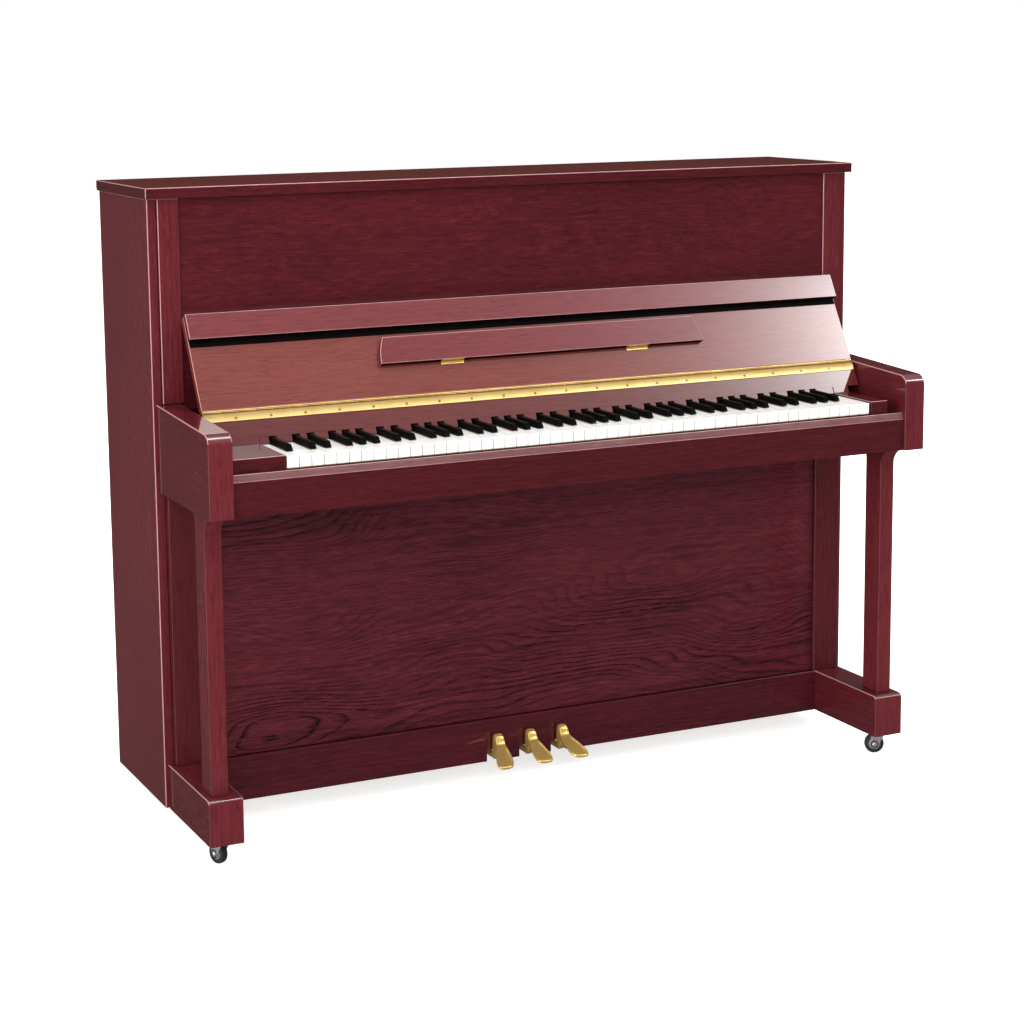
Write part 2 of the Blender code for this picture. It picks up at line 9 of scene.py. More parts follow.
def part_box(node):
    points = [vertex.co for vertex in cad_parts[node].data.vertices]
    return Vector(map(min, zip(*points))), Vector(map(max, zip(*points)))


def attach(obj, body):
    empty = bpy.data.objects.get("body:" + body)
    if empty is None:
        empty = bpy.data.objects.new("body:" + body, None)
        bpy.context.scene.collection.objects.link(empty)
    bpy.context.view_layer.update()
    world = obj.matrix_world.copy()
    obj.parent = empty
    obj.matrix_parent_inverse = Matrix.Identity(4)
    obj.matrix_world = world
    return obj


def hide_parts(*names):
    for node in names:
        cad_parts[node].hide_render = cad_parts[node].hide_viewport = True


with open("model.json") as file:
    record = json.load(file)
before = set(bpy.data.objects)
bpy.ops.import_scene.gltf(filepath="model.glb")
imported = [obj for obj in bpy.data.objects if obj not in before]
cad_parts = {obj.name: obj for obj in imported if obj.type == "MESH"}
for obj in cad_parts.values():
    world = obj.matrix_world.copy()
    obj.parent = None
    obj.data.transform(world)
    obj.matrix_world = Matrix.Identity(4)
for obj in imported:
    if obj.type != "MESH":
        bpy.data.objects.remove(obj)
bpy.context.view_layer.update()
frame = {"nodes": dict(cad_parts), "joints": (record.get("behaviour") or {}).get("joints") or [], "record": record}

# ------------------------------------------------------------------ measures read from the frame

NODES = frame["nodes"]
BODY_OF = {node: body for body, names in frame["record"]["behaviour"]["bodies"].items() for node in names}
JOINTS = {joint["name"]: joint for joint in frame["joints"]}

KEY_PITCH = 0.0236
WHITE_COUNT = 52
KEY_GAP = 0.0008
FIRST_KEY_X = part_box("white_keys_1")[0].x - KEY_GAP / 2
SHARP_HALF = 0.0065                             # half width of a sharp at its foot
SHARPS_OF_OCTAVE = ((0, -0.0026), (1, 0.0026), (3, -0.0032), (4, 0.0), (5, 0.0032))
BACK_POSTS = (-0.693, -0.3465, 0.0, 0.3465, 0.693)
HALF_POST = 0.030
LEAN = math.radians(29.6)                       # how far the open fallboard leans back
HINGE = Vector(JOINTS["fallboard_hinge"]["pos_m"])


def lean(x, s, d):
    """Point at x, s up the open fallboard and d out of its face, from the hinge axis."""
    y = HINGE.y + s * math.sin(LEAN) - d * math.cos(LEAN)
    z = HINGE.z + s * math.cos(LEAN) + d * math.sin(LEAN)
    return Vector((x, y, z))


# ------------------------------------------------------------------ node helpers for materials

class Nodes:
    """Small wrapper that adds shader nodes and links them in one call."""

    def __init__(self, name):
        self.material = bpy.data.materials.new(name)
        self.material.use_nodes = True
        self.tree = self.material.node_tree
        self.shader = self.tree.nodes["Principled BSDF"]

    def add(self, kind, inputs=None, **settings):
        node = self.tree.nodes.new("ShaderNode" + kind)
        for key, value in settings.items():
            setattr(node, key, value)
        for key, value in (inputs or {}).items():
            self.feed(node.inputs[key], value)
        return node

    def feed(self, socket, value):
        if isinstance(value, bpy.types.NodeSocket):
            self.tree.links.new(value, socket)
        else:
            socket.default_value = value

    def math(self, operation, a, b=0.0, clamp=False):
        return self.add("Math", {0: a, 1: b}, operation=operation, use_clamp=clamp).outputs[0]

    def mix(self, factor, a, b, blend="MIX"):
        node = self.add("Mix", data_type="RGBA", blend_type=blend)
        self.feed(node.inputs[0], factor)
        self.feed(node.inputs[6], a)
        self.feed(node.inputs[7], b)
        return node.outputs[2]

    def position(self, scale=(1.0, 1.0, 1.0), offset=(0.0, 0.0, 0.0)):
        place = self.add("TexCoord").outputs["Object"]
        mapping = self.add("Mapping", {"Vector": place, "Scale": scale, "Location": offset})
        return mapping.outputs[0]

    def noise(self, vector, scale=1.0, detail=2.0, roughness=0.5, distortion=0.0):
        values = {"Vector": vector, "Scale": scale, "Detail": detail, "Roughness": roughness,
                  "Distortion": distortion}
        return self.add("TexNoise", values).outputs[0]

    def ramp(self, factor, stops):
        """Colour ramp from (position, grey or colour) stops."""
        node = self.add("ValToRGB", {"Fac": factor})
        elements = node.color_ramp.elements
        while len(elements) < len(stops):
            elements.new(0.5)
        for element, (place, colour) in zip(elements, stops):
            element.position = place
            element.color = (*([colour] * 3 if isinstance(colour, float) else colour), 1.0)
        return node.outputs[0]

    def bump(self, height, strength, distance=0.001, normal=None):
        values = {"Height": height, "Strength": strength, "Distance": distance}
        if normal is not None:
            values["Normal"] = normal
        return self.add("Bump", values).outputs[0]

    def set(self, **values):
        for key, value in values.items():
            self.feed(self.shader.inputs[key.replace("_", " ")], value)
        return self.material


AXES = {"X": 0, "Y": 1, "Z": 2}
BOX_FACES = ((0, 1, 2, 3), (4, 5, 6, 7), (0, 1, 5, 4), (1, 2, 6, 5), (2, 3, 7, 6), (3, 0, 4, 7))


def grain_scale(along, fine, long):
    """Mapping scale that stretches a texture along one axis."""
    scale = [fine, fine, fine]
    scale[AXES[along]] = long
    return scale


def mahogany(name, along, base, dark, light, spacing=0.008, swirl=(3.0, 0.7, 16.0), lines=0.5, mottle=0.3,
             seed=0.0, coat=0.025):
    """Mahogany veneer under a polished clear coat.

    Growth lines are contours of a field that climbs across the grain: spacing is the distance between
    lines, and swirl is how finely the field is disturbed across and along the grain and by how many
    lines, which bends them into eyes and cathedrals. Fibres and short flecks lie over them.
    """
    n = Nodes(name)
    offset = (seed, seed * 0.7, seed * 1.3)
    across = AXES["X" if along == "Z" else "Z" if along == "X" else "X"]
    place = n.position()
    split = n.add("SeparateXYZ", {"Vector": place})
    climb = n.math("MULTIPLY", split.outputs[across], 1.0 / spacing)
    second = split.outputs[AXES["Z" if along == "Y" else "Y"]]
    climb = n.math("ADD", climb, n.math("MULTIPLY", second, 0.6 / spacing))
    broad = n.noise(n.position(grain_scale(along, swirl[0], swirl[1]), offset), detail=2.5, roughness=0.42)
    fine_bend = n.noise(n.position(grain_scale(along, 22.0, 3.5), offset), detail=2.0)
    field = n.math("ADD", climb, n.math("MULTIPLY", broad, swirl[2]))
    field = n.math("ADD", field, n.math("MULTIPLY", fine_bend, 1.6))
    wave = n.math("FRACT", field)
    growth = n.ramp(wave, [(0.0, 0.0), (0.55, 0.18), (0.86, 1.0), (1.0, 0.0)])
    patches = n.noise(n.position(grain_scale(along, 9.0, 1.6), offset), detail=3.0)
    weight = n.ramp(patches, [(0.36, 0.25), (0.62, 1.0)])
    growth = n.math("MULTIPLY", growth, weight)
    streak = n.noise(n.position(grain_scale(along, 120.0, 3.2), offset), detail=4.0, roughness=0.65)
    streaks = n.ramp(streak, [(0.40, 0.0), (0.66, 1.0)])
    fibre = n.noise(n.position(grain_scale(along, 620.0, 22.0), offset), detail=3.0, roughness=0.7)
    pores = n.ramp(fibre, [(0.36, 1.0), (0.47, 0.0)])
    fleck = n.noise(n.position(grain_scale(along, 210.0, 34.0), offset), detail=3.0, roughness=0.7)
    cloud = n.noise(n.position(grain_scale(along, 4.2, 1.6), offset), detail=3.0)
    tone = n.mix(n.math("MULTIPLY", streaks, 0.55 * lines), (*base, 1.0), (*dark, 1.0))
    tone = n.mix(n.math("MULTIPLY", growth, lines), tone, (*dark, 1.0))
    tone = n.mix(n.math("MULTIPLY", n.ramp(cloud, [(0.42, 0.0), (0.66, 1.0)]), 0.45), tone, (*light, 1.0))
    tone = n.mix(n.math("MULTIPLY", n.ramp(fleck, [(0.52, 0.0), (0.72, 1.0)]), mottle), tone,
                 (*[min(1.0, c * 1.5) for c in light], 1.0))
    tone = n.mix(n.math("MULTIPLY", n.ramp(fleck, [(0.28, 1.0), (0.44, 0.0)]), mottle), tone,
                 (*[c * 0.4 for c in dark], 1.0))
    tone = n.mix(n.math("MULTIPLY", pores, 0.5), tone, (*[c * 0.4 for c in dark], 1.0))
    rough = n.add("MapRange", {"Value": fibre, "To Min": 0.36, "To Max": 0.55}).outputs[0]
    ripple = n.bump(n.noise(n.position((8.0, 8.0, 8.0)), detail=1.0), 0.010, 0.001)
    return n.set(Base_Color=tone, Roughness=rough, Normal=n.bump(fibre, 0.05, 0.0002), Coat_Weight=1.0,
                 Coat_Roughness=coat, Coat_IOR=1.5, Coat_Normal=ripple, Specular_IOR_Level=0.04)


def plain_wood(name, along, base, dark, roughness=0.5):
    """Sealed softwood or beech: straight growth lines and fine fibre."""
    n = Nodes(name)
    rings = n.noise(n.position(grain_scale(along, 60.0, 1.2)), detail=3.0, roughness=0.55)
    fibre = n.noise(n.position(grain_scale(along, 700.0, 16.0)), detail=2.0)
    lines = n.ramp(rings, [(0.38, 0.0), (0.60, 1.0)])
    tone = n.mix(n.math("MULTIPLY", lines, 0.6), (*base, 1.0), (*dark, 1.0))
    tone = n.mix(n.math("MULTIPLY", n.ramp(fibre, [(0.35, 1.0), (0.55, 0.0)]), 0.25), tone,
                 (*[c * 0.5 for c in dark], 1.0))
    sheen = {"Value": rings, "To Min": roughness - 0.08, "To Max": roughness + 0.1}
    rough = n.add("MapRange", sheen).outputs[0]
    return n.set(Base_Color=tone, Roughness=rough, Normal=n.bump(fibre, 0.25, 0.0003))


def metal(name, base, tint, roughness, brushed="X", spread=0.10, metallic=1.0):
    """Polished metal with faint brushing, smudges and darker tarnish in random patches."""
    n = Nodes(name)
    brush = n.noise(n.position(grain_scale(brushed, 900.0, 30.0)), detail=2.0)
    smudge = n.noise(n.position((28.0, 28.0, 28.0)), detail=3.0)
    colour = n.mix(n.ramp(smudge, [(0.35, 0.0), (0.70, 0.8)]), (*base, 1.0), (*tint, 1.0))
    rough = n.add("MapRange", {"Value": smudge, "To Min": roughness, "To Max": roughness + spread}).outputs[0]
    return n.set(Base_Color=colour, Metallic=metallic, Roughness=rough, Normal=n.bump(brush, 0.05, 0.0002))


def moulded(name, base, shade, roughness, grain=260.0, bump=0.05, coat=0.0, gloss=0.5):
    """Plastic, rubber or felt: slight tone variation and a fine surface texture."""
    n = Nodes(name)
    soft = n.noise(n.position((14.0, 14.0, 14.0)), detail=2.0)
    fine = n.noise(n.position((grain, grain, grain)), detail=3.0)
    colour = n.mix(n.ramp(soft, [(0.3, 0.0), (0.7, 1.0)]), (*base, 1.0), (*shade, 1.0))
    rough = n.add("MapRange", {"Value": fine, "To Min": roughness, "To Max": roughness + 0.08}).outputs[0]
    return n.set(Base_Color=colour, Roughness=rough, Normal=n.bump(fine, bump, 0.0003), Coat_Weight=coat,
                 Coat_Roughness=0.05, Specular_IOR_Level=gloss)


UPPER = mahogany("upper_veneer", "X", (0.074, 0.0085, 0.0120), (0.032, 0.0040, 0.0066),
                 (0.098, 0.0105, 0.0145), 0.015, (6.5, 2.2, 34.0), 0.60, 0.50, 3.1)
LOWER = mahogany("lower_veneer", "X", (0.096, 0.0130, 0.0205), (0.007, 0.0014, 0.0030),
                 (0.130, 0.0190, 0.0290), 0.0135, (3.0, 1.0, 70.0), 1.0, 0.35, 7.7)
RAIL = mahogany("rail_veneer", "X", (0.070, 0.0085, 0.0140), (0.020, 0.0032, 0.0060),
                (0.085, 0.0110, 0.0170), 0.009, (5.0, 1.0, 10.0), 0.70, 0.35, 21.0)
CASE_Z = mahogany("case_veneer_upright", "Z", (0.118, 0.0155, 0.0190), (0.052, 0.0066, 0.0100),
                  (0.136, 0.0200, 0.0240), 0.009, (4.0, 0.6, 12.0), 0.55, 0.30, 1.4)
# Painted shade: a darker copy of the upright case veneer for the lower posts, which stand in shade under the
# keybed.
POST_Z_PAINTED_SHADE = mahogany("lower_post_veneer_painted_shade", "Z", (0.078, 0.0100, 0.0135), (0.036, 0.0046, 0.0072),
                  (0.092, 0.0130, 0.0165), 0.009, (4.0, 0.6, 12.0), 0.55, 0.30, 31.0)
CASE_Y = mahogany("case_veneer_deep", "Y", (0.095, 0.0115, 0.0150), (0.040, 0.0052, 0.0082),
                  (0.112, 0.0150, 0.0190), 0.009, (4.0, 0.8, 12.0), 0.55, 0.35, 5.2)
CASE_X = mahogany("case_veneer_wide", "X", (0.062, 0.0068, 0.0096), (0.028, 0.0034, 0.0056),
                  (0.080, 0.0096, 0.0130), 0.009, (4.0, 0.8, 16.0), 0.55, 0.40, 9.3)
# Painted highlight: a lighter, pinker copy of the case veneer for the key slip's sloping chamfer, standing in for
# the light it catches.
CHAMFER_PAINTED_HIGHLIGHT = mahogany("slip_chamfer_painted_highlight", "X", (0.140, 0.060, 0.062), (0.095, 0.036, 0.038),
                   (0.220, 0.100, 0.110), 0.010, (4.0, 0.8, 10.0), 0.35, 0.20, 9.3)
FALL = mahogany("fallboard_veneer", "X", (0.146, 0.0255, 0.0185), (0.090, 0.0130, 0.0105),
                (0.168, 0.0360, 0.0260), 0.012, (4.0, 1.4, 30.0), 0.30, 0.20, 12.0, 0.05)
LIP = mahogany("lip_veneer", "X", (0.130, 0.0165, 0.0200), (0.082, 0.0095, 0.0128),
               (0.152, 0.0220, 0.0260), 0.012, (4.0, 0.8, 14.0), 0.35, 0.25, 15.0, 0.05)
STRIP = mahogany("name_strip_veneer", "X", (0.100, 0.0165, 0.0150), (0.062, 0.0090, 0.0090),
                 (0.120, 0.0230, 0.0200), 0.012, (4.0, 1.4, 20.0), 0.30, 0.20, 18.0, 0.05)
# Painted light: a lighter copy of the case veneer for the lid's top faces only, standing in for the overhead light
# they catch.
LID_TOP_PAINTED_LIGHT = mahogany("lid_top_veneer_painted_light", "X", (0.200, 0.0300, 0.0215), (0.125, 0.0165, 0.0125),
               (0.225, 0.0380, 0.0270), 0.011, (4.0, 0.8, 14.0), 0.45, 0.30, 2.2)
# Painted highlight: a light pink copy of the veneer for the rounded edges that face up or left, standing in for
# the light they catch.
EDGE_PAINTED_HIGHLIGHT = mahogany("painted_edge_highlight", "X", (0.40, 0.205, 0.200), (0.34, 0.170, 0.170),
                (0.54, 0.340, 0.330), 0.02, (4.0, 0.8, 6.0), 0.2, 0.1, 4.4, 0.12)
SPRUCE_Z = plain_wood("spruce_upright", "Z", (0.60, 0.41, 0.22), (0.42, 0.25, 0.11))
SPRUCE_X = plain_wood("spruce_wide", "X", (0.60, 0.41, 0.22), (0.42, 0.25, 0.11))
SPRUCE_Y = plain_wood("key_wood", "Y", (0.66, 0.48, 0.27), (0.50, 0.32, 0.15))
BEECH = plain_wood("beech", "X", (0.55, 0.36, 0.20), (0.42, 0.25, 0.12))
BRASS = metal("polished_brass", (0.92, 0.64, 0.20), (0.84, 0.54, 0.14), 0.26, metallic=0.72)
BRASS_LEAF = metal("hinge_brass", (0.86, 0.60, 0.24), (0.74, 0.48, 0.16), 0.34, metallic=0.7)
BRASS_DARK = metal("aged_brass", (0.42, 0.26, 0.08), (0.30, 0.18, 0.05), 0.35, metallic=0.9)
CHROME = metal("chrome_plate", (0.82, 0.82, 0.81), (0.70, 0.70, 0.70), 0.16, "Z", metallic=0.75)
STEEL = metal("music_wire", (0.55, 0.55, 0.56), (0.45, 0.45, 0.46), 0.25, "Z")
IRON = metal("bronzed_iron", (0.50, 0.34, 0.13), (0.42, 0.27, 0.09), 0.38, "Z", 0.15)
WHITE_KEY = moulded("key_top", (0.86, 0.86, 0.84), (0.82, 0.82, 0.81), 0.16, 90.0, 0.01, 0.4)
BLACK_KEY = moulded("sharp_top", (0.0006, 0.0006, 0.0007), (0.0016, 0.0016, 0.0016), 0.50, 700.0, 0.03,
                    gloss=0.05)
TYRE = moulded("caster_tread", (0.016, 0.016, 0.017), (0.028, 0.028, 0.028), 0.45, 420.0, 0.15)
# Painted shade: dark colour for screw slots drawn as thin sheets, standing in for the shade inside a cut slot.
SLOT_PAINTED_SHADE = moulded("screw_slot_painted_shade", (0.05, 0.03, 0.01), (0.03, 0.02, 0.01), 0.5)
# Painted shade: near-black for the undersides of the fallboard lip and music ledge and for the strip on the board
# below the lip, which is partly a black felt strip and mostly the lip's painted shadow.
UNDERSIDE_PAINTED_SHADE = moulded("underside_painted_shade", (0.0015, 0.001, 0.001), (0.003, 0.002, 0.002), 0.7, 500.0, 0.05,
                     gloss=0.08)
FELT_RED = moulded("burgundy_felt", (0.14, 0.018, 0.025), (0.10, 0.012, 0.018), 0.9, 900.0, 0.6)
FELT_CREAM = moulded("hammer_felt", (0.62, 0.57, 0.48), (0.55, 0.50, 0.41), 0.9, 900.0, 0.5)


# ------------------------------------------------------------------ piece helpers

def new_piece(name, bm, materials, body, smooth=True):
    bmesh.ops.recalc_face_normals(bm, faces=bm.faces)
    mesh = bpy.data.meshes.new(name)
    bm.to_mesh(mesh)
    bm.free()
    for material in materials if isinstance(materials, (list, tuple)) else [materials]:
        mesh.materials.append(material)
    if smooth:
        mesh.shade_smooth()
        mesh.set_sharp_from_angle(angle=math.radians(38))
    piece = bpy.data.objects.new(name, mesh)
    bpy.context.scene.collection.objects.link(piece)
    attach(piece, body)
    return piece


def soften(piece, width, segments=3, angle=32.0):
    bevel = piece.modifiers.new("edges", "BEVEL")
    bevel.width = width
    bevel.segments = segments
    bevel.limit_method = "ANGLE"
    bevel.angle_limit = math.radians(angle)
    bevel.harden_normals = True
    return piece


def refine(node, material, width=0.0015, segments=3, angle=32.0, shine=None):
    """Finished copy of a CAD node: welded, with its flat faces whole again and its edges rounded.

    With shine, the rounded edges that face up, or with "left" also those that face left, carry a
    painted highlight: a lighter material that stands in for the light polished edges catch.
    """
    bm = bmesh.new()
    bm.from_mesh(NODES[node].data)
    bmesh.ops.remove_doubles(bm, verts=bm.verts, dist=2e-6)
    bmesh.ops.dissolve_limit(bm, angle_limit=math.radians(0.6), verts=bm.verts, edges=bm.edges)
    materials = [material]
    if shine:
        materials.append(EDGE_PAINTED_HIGHLIGHT)
        sharp = [edge for edge in bm.edges if edge.calc_face_angle(0.0) > math.radians(angle)]
        bmesh.ops.bevel(bm, geom=sharp, offset=width, offset_type="OFFSET", segments=segments, profile=0.5,
                        affect="EDGES", clamp_overlap=True, material=1)
        bm.normal_update()
        # Painted highlight only on the bevel faces that face up, and also left when asked.
        for face in bm.faces:
            lit = face.normal.z > 0.2 or (shine == "left" and face.normal.x < -0.2 < face.normal.z)
            if face.material_index == 1 and not lit:
                face.material_index = 0
    piece = new_piece(node + "_finish", bm, materials, BODY_OF[node])
    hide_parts(node)
    if shine:
        weighted = piece.modifiers.new("normals", "WEIGHTED_NORMAL")
        weighted.keep_sharp = True
        return piece
    return soften(piece, width, segments, angle)


def paint(piece, material, choose):
    """Gives the flat faces that choose accepts another material; the script uses it for real finishes and for
    painted light and shade.
    """
    piece.data.materials.append(material)
    for polygon in piece.data.polygons:
        if polygon.material_index == 0 and choose(polygon.normal):
            polygon.material_index = len(piece.data.materials) - 1


def place(axis, u, v, w):
    return {"X": (w, u, v), "Y": (u, w, v), "Z": (u, v, w)}[axis]


def add_prism(bm, outline, axis, low, high, slot=0):
    lower = [bm.verts.new(place(axis, u, v, low)) for u, v in outline]
    upper = [bm.verts.new(place(axis, u, v, high)) for u, v in outline]
    count = len(outline)
    faces = [bm.faces.new(lower), bm.faces.new(upper)]
    for i in range(count):
        j = (i + 1) % count
        faces.append(bm.faces.new((lower[i], lower[j], upper[j], upper[i])))
    for face in faces:
        face.material_index = slot


def add_box(bm, low, high, slot=0):
    outline = [(low[0], low[1]), (high[0], low[1]), (high[0], high[1]), (low[0], high[1])]
    add_prism(bm, outline, "Z", low[2], high[2], slot)


def add_block(bm, corners, slot=0):
    """Block from eight corners: one four-cornered end, then the other in the same order."""
    verts = [bm.verts.new(corner) for corner in corners]
    for face in BOX_FACES:
        bm.faces.new([verts[i] for i in face]).material_index = slot


def add_lathe(bm, profile, centre, axis, sides=32, slot=0):
    """Turn a closed profile of (radius, height) points about an axis through centre."""
    up = Vector(axis).normalized()
    side = up.orthogonal().normalized()
    other = up.cross(side)
    rings = []
    for k in range(sides):
        angle = 2 * math.pi * k / sides
        out = side * math.cos(angle) + other * math.sin(angle)
        rings.append([bm.verts.new(centre + out * r + up * h) for r, h in profile])
    for k in range(sides):
        a, b = rings[k], rings[(k + 1) % sides]
        for i in range(len(profile)):
            j = (i + 1) % len(profile)
            bm.faces.new((a[i], a[j], b[j], b[i])).material_index = slot


# ------------------------------------------------------------------ camera, light and floor

def make_camera():
    data = bpy.data.cameras.new("camera")
    data.sensor_width = 36.0
    data.lens = 78.59
    data.shift_x = 0.0321
    data.shift_y = -0.120
    data.clip_end = 60.0
    camera = bpy.data.objects.new("camera", data)
    yaw = Matrix.Rotation(math.radians(-25.152), 4, "Z")
    pitch = Matrix.Rotation(math.radians(90.0 - 8.635), 4, "X")
    roll = Matrix.Rotation(math.radians(-0.613), 4, "Z")
    camera.matrix_world = Matrix.Translation((-1.929, -3.916, 1.450)) @ (yaw @ pitch) @ roll
    bpy.context.scene.collection.objects.link(camera)
    bpy.context.scene.camera = camera


def softbox(name, location, target, size, energy):
    """Large soft lamp that lights the object without showing as a rectangle in its polish."""
    data = bpy.data.lights.new(name, "AREA")
    data.shape = "RECTANGLE"
    data.size, data.size_y = size
    data.energy = energy
    lamp = bpy.data.objects.new(name, data)
    lamp.location = location
    lamp.rotation_euler = (Vector(target) - Vector(location)).to_track_quat("-Z", "Y").to_euler()
    lamp.visible_glossy = False
    bpy.context.scene.collection.objects.link(lamp)


def make_world():
    """Studio surroundings: white behind the object, and a soft sky whose glows the polish mirrors."""
    world = bpy.data.worlds.new("studio")
    bpy.context.scene.world = world
    world.use_nodes = True
    tree = world.node_tree
    tree.nodes.clear()

    def maths(operation, a, b=0.0):
        made = tree.nodes.new("ShaderNodeMath")
        made.operation = operation
        for socket, value in zip(made.inputs, (a, b)):
            if isinstance(value, bpy.types.NodeSocket):
                tree.links.new(value, socket)
            else:
                socket.default_value = value
        return made.outputs[0]

    direction = tree.nodes.new("ShaderNodeTexCoord").outputs["Generated"]
    split = tree.nodes.new("ShaderNodeSeparateXYZ")
    tree.links.new(direction, split.inputs[0])

    def glow(axis, strength, spread, flat=False):
        """Brightness that falls away from an axis with angle, or with compass angle only when flat."""
        source = direction
        if flat:
            level = tree.nodes.new("ShaderNodeCombineXYZ")
            tree.links.new(split.outputs["X"], level.inputs[0])
            tree.links.new(split.outputs["Y"], level.inputs[1])
            unit = tree.nodes.new("ShaderNodeVectorMath")
            unit.operation = "NORMALIZE"
            tree.links.new(level.outputs[0], unit.inputs[0])
            source = unit.outputs[0]
        dot = tree.nodes.new("ShaderNodeVectorMath")
        dot.operation = "DOT_PRODUCT"
        tree.links.new(source, dot.inputs[0])
        dot.inputs[1].default_value = Vector(axis).normalized()
        angle = maths("ARCCOSINE", maths("MINIMUM", dot.outputs["Value"], 0.99999))
        value = maths("MULTIPLY", maths("EXPONENT", maths("MULTIPLY", angle, -1.0 / spread)), strength)
        if flat:
            low = maths("ABSOLUTE", split.outputs["Z"])
            fade = maths("EXPONENT", maths("MULTIPLY", maths("MULTIPLY", low, low), -6.0))
            value = maths("MULTIPLY", value, fade)
        return value

    sky = tree.nodes.new("ShaderNodeValToRGB")
    tree.links.new(split.outputs["Z"], sky.inputs[0])
    stops = [(0.0, 0.07), (0.03, 0.02), (0.25, 0.03), (0.50, 0.35), (0.75, 0.80), (1.0, 1.0)]
    while len(sky.color_ramp.elements) < len(stops):
        sky.color_ramp.elements.new(0.5)
    for element, (at, value) in zip(sky.color_ramp.elements, stops):
        element.position = at
        element.color = (value, value, value, 1.0)
    total = maths("ADD", sky.outputs[0], glow((0.612, -0.499, 0.614), 85.0, 0.0375))
    total = maths("ADD", total, glow((0.31, -0.20, 0.93), 30.0, 0.08))
    total = maths("ADD", total, glow((-0.957, -0.287, 0.0), 10.0, 0.14, flat=True))
    surround = tree.nodes.new("ShaderNodeBackground")
    tree.links.new(total, surround.inputs["Strength"])
    surround.inputs[0].default_value = (1.0, 1.0, 1.0, 1.0)
    white = tree.nodes.new("ShaderNodeBackground")
    white.inputs[0].default_value = (1.0, 1.0, 1.0, 1.0)
    path = tree.nodes.new("ShaderNodeLightPath")
    mix = tree.nodes.new("ShaderNodeMixShader")
    tree.links.new(path.outputs["Is Camera Ray"], mix.inputs[0])
    tree.links.new(surround.outputs[0], mix.inputs[1])
    tree.links.new(white.outputs[0], mix.inputs[2])
    output = tree.nodes.new("ShaderNodeOutputWorld")
    tree.links.new(mix.outputs[0], output.inputs[0])


def make_floor():
    """Pale seamless floor: bright enough to meet the white surroundings, with a faint contact shadow."""
    bpy.ops.mesh.primitive_plane_add(size=40.0, location=(0.0, 0.0, -0.0005))
    floor = bpy.context.object
    floor.name = "studio_floor"
    n = Nodes("studio_floor")
    speckle = n.noise(n.position((3.0, 3.0, 3.0)), detail=2.0)
    tone = n.mix(speckle, (0.80, 0.80, 0.80, 1.0), (0.82, 0.82, 0.82, 1.0))
    floor.data.materials.append(n.set(Base_Color=tone, Roughness=0.9, Emission_Color=(1.0, 1.0, 1.0, 1.0)))
    path = n.add("LightPath").outputs["Is Camera Ray"]
    n.feed(n.shader.inputs["Emission Strength"], n.math("MULTIPLY", path, 0.72))
    floor.visible_glossy = False


def make_studio():
    make_camera()
    make_world()
    make_floor()
    softbox("front_softbox", (-2.2, -5.2, 3.0), (0.0, -0.1, 0.6), (3.0, 3.0), 170.0)
    softbox("top_softbox", (-0.2, 0.3, 4.5), (0.0, 0.0, 1.2), (3.0, 3.0), 70.0)
    softbox("left_softbox", (-4.2, -1.6, 2.4), (-0.7, 0.0, 0.7), (2.4, 2.4), 70.0)
    softbox("rear_softbox", (2.5, 4.5, 3.0), (0.0, 0.1, 0.6), (3.0, 3.0), 110.0)
    bpy.context.scene.view_settings.view_transform = "Standard"


# ------------------------------------------------------------------ case

def build_case():
    for side in ("left", "right"):
        refine("side_panel_" + side, CASE_Z, 0.0016, 3, shine="left")
        refine("pilaster_" + side, CASE_Z, 0.0014, 3, shine="left")
        # Painted shade: the lower posts use the darker copy of the case veneer.
        refine("lower_post_" + side, POST_Z_PAINTED_SHADE, 0.0012, 3, shine="top")
        refine("leg_" + side, CASE_Z, 0.0012, 3, shine="top")
        arm = refine("arm_" + side, CASE_Y, 0.0016, 3, shine="top")
        toe = refine("toe_block_" + side, CASE_Y, 0.0016, 3, shine="top")
        for piece in (arm, toe):
            paint(piece, CASE_Z, lambda normal: normal.y < -0.9)
        refine("key_block_" + side, CASE_X, 0.0010, 3, shine="top")
    lid = refine("top_lid", CASE_X, 0.0014, 3, shine="left")
    # Painted light: the lid's top faces are drawn lighter than its edges.
    paint(lid, LID_TOP_PAINTED_LIGHT, lambda normal: normal.z > 0.9)
    refine("upper_front_panel", UPPER, 0.0015)
    refine("lower_front_panel", LOWER, 0.0015)
    refine("bottom_rail", RAIL, 0.0015)
    slip = refine("key_slip", CASE_X, 0.0008, 2, 15.0, shine="top")
    # Painted highlight: the slip's sloping chamfer faces are drawn lighter.
    paint(slip, CHAMFER_PAINTED_HIGHLIGHT, lambda normal: 0.2 < normal.z < 0.6 and normal.y < -0.5)
    strip = refine("name_strip", STRIP, 0.0002, 1)
    for polygon in strip.data.polygons:
        polygon.use_smooth = False
    refine("keybed", CASE_X, 0.0015)
    refine("bottom_board", SPRUCE_X, 0.0010, 2)
    refine("key_frame", SPRUCE_X, 0.0008, 2)


def slab_on_board(name, x0, x1, s0, s1, d0, d1, material, body, width=0.0004):
    """Thin strip lying on the open fallboard."""
    bm = bmesh.new()
    corners = [lean(x, s, d) for x in (x0, x1) for s, d in ((s0, d0), (s1, d0), (s1, d1), (s0, d1))]
    add_block(bm, corners)
    return soften(new_piece(name, bm, material, body), width, 2)


